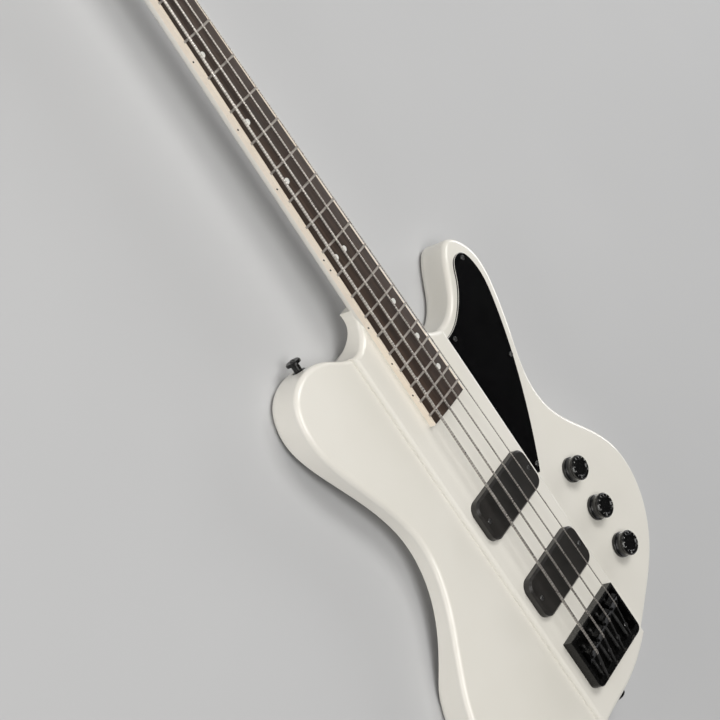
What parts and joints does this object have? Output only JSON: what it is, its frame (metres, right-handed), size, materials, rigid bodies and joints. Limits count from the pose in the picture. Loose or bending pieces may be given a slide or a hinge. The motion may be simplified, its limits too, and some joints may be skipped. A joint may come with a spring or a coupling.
{
  "type": "electric bass guitar",
  "caption": "Full-size solid-body electric bass with a raised centre block, two horns, soapbar pickups, walled bridge, turning knobs and geared tuners.",
  "frame": {"origin": "on the flat back, on the centre line, under the end of the string scale", "axes": "+X to the treble side, +Y along the neck to the headstock, +Z out of the face"},
  "size_m": [0.3898, 1.171, 0.0594],
  "materials": {
    "white_lacquer": "gloss",
    "dark_wood": "satin",
    "cream_plastic": "gloss",
    "fret_metal": "polished",
    "pearl": "gloss",
    "black_plastic": "matte",
    "nut_plastic": "satin",
    "steel": "satin",
    "black_gloss": "gloss",
    "black_metal": "satin",
    "dark_screws": "gloss",
    "string_steel": "satin",
    "black_satin": "satin",
    "foam": "matte"
  },
  "bodies": {
    "post_1": {"string_post_1": "black_metal"},
    "key_1": {"tuner_key_1": "black_metal"},
    "post_2": {"string_post_2": "black_metal"},
    "key_2": {"tuner_key_2": "black_metal"},
    "post_3": {"string_post_3": "black_metal"},
    "key_3": {"tuner_key_3": "black_metal"},
    "post_4": {"string_post_4": "black_metal"},
    "key_4": {"tuner_key_4": "black_metal"},
    "saddle_1": {"saddle_1": "black_metal"},
    "saddle_2": {"saddle_2": "black_metal"},
    "saddle_3": {"saddle_3": "black_metal"},
    "saddle_4": {"saddle_4": "black_metal"},
    "knob_1": {"knob_1": "black_gloss", "pot_shaft_1": "steel"},
    "knob_2": {"knob_2": "black_gloss", "pot_shaft_2": "steel"},
    "knob_3": {"knob_3": "black_gloss", "pot_shaft_3": "steel"},
    "body": {"neck_through": "white_lacquer", "wing_bass": "white_lacquer", "wing_treble": "white_lacquer", "fretboard": "dark_wood", "fretboard_binding": "cream_plastic", "frets": "fret_metal", "inlay_dots": "pearl", "side_dots": "black_plastic", "nut": "nut_plastic", "truss_rod": "steel", "truss_rod_cover": "black_gloss", "truss_cover_screws": "black_metal", "tuner_plates": "black_metal", "tuner_bushings": "black_metal", "tuner_screws": "black_metal", "string_e": "string_steel", "string_a": "string_steel", "string_d": "string_steel", "string_g": "string_steel", "string_retainer": "black_metal", "pickguard": "black_gloss", "pickguard_screws": "dark_screws", "pickup_neck": "black_satin", "pickup_bridge": "black_satin", "pickup_cores": "black_plastic", "pickup_foam": "foam", "pickup_screws": "dark_screws", "bridge_base": "black_metal", "bridge_screws": "black_metal", "intonation_screws": "black_metal", "pots": "steel", "pot_nuts": "steel", "jack_plate": "black_metal", "jack_nut": "black_metal", "jack_screws": "black_metal", "output_jack": "steel", "control_cover": "black_satin", "control_cover_screws": "black_metal", "strap_buttons": "black_metal", "strap_screws": "black_metal"}
  },
  "joints": [
    {"name": "post_1_turn", "type": "hinge", "parent": "body", "child": "post_1", "pos_m": [-0.018, 0.908, 0.025], "axis": [0, 0, 1], "continuous": true},
    {"name": "key_1_turn", "type": "hinge", "parent": "body", "child": "key_1", "pos_m": [-0.05034, 0.90132, 0.0185], "axis": [-0.9743, 0.2254, 0], "continuous": true},
    {"name": "post_2_turn", "type": "hinge", "parent": "body", "child": "post_2", "pos_m": [-0.0084, 0.9495, 0.025], "axis": [0, 0, 1], "continuous": true},
    {"name": "key_2_turn", "type": "hinge", "parent": "body", "child": "key_2", "pos_m": [-0.04074, 0.94282, 0.0185], "axis": [-0.9743, 0.2254, 0], "continuous": true},
    {"name": "post_3_turn", "type": "hinge", "parent": "body", "child": "post_3", "pos_m": [0.0012, 0.991, 0.025], "axis": [0, 0, 1], "continuous": true},
    {"name": "key_3_turn", "type": "hinge", "parent": "body", "child": "key_3", "pos_m": [-0.03114, 0.98432, 0.0185], "axis": [-0.9743, 0.2254, 0], "continuous": true},
    {"name": "post_4_turn", "type": "hinge", "parent": "body", "child": "post_4", "pos_m": [0.0108, 1.0325, 0.025], "axis": [0, 0, 1], "continuous": true},
    {"name": "key_4_turn", "type": "hinge", "parent": "body", "child": "key_4", "pos_m": [-0.02154, 1.02582, 0.0185], "axis": [-0.9743, 0.2254, 0], "continuous": true},
    {"name": "saddle_1_slide", "type": "slide", "parent": "body", "child": "saddle_1", "axis": [0, 1, 0], "range_m": [-0.003, 0.003]},
    {"name": "saddle_2_slide", "type": "slide", "parent": "body", "child": "saddle_2", "axis": [0, 1, 0], "range_m": [-0.003, 0.003]},
    {"name": "saddle_3_slide", "type": "slide", "parent": "body", "child": "saddle_3", "axis": [0, 1, 0], "range_m": [-0.003, 0.003]},
    {"name": "saddle_4_slide", "type": "slide", "parent": "body", "child": "saddle_4", "axis": [0, 1, 0], "range_m": [-0.003, 0.003]},
    {"name": "knob_1_turn", "type": "hinge", "parent": "body", "child": "knob_1", "pos_m": [0.106, 0.11, 0.037], "axis": [0, 0, 1], "range_deg": [0, 270]},
    {"name": "knob_2_turn", "type": "hinge", "parent": "body", "child": "knob_2", "pos_m": [0.106, 0.0625, 0.037], "axis": [0, 0, 1], "range_deg": [0, 270]},
    {"name": "knob_3_turn", "type": "hinge", "parent": "body", "child": "knob_3", "pos_m": [0.106, 0.015, 0.037], "axis": [0, 0, 1], "range_deg": [0, 270]}
  ],
  "couplings": [
    {"joint": "post_1_turn", "follows": "key_1_turn", "ratio": 0.05},
    {"joint": "post_2_turn", "follows": "key_2_turn", "ratio": 0.05},
    {"joint": "post_3_turn", "follows": "key_3_turn", "ratio": 0.05},
    {"joint": "post_4_turn", "follows": "key_4_turn", "ratio": 0.05}
  ]
}
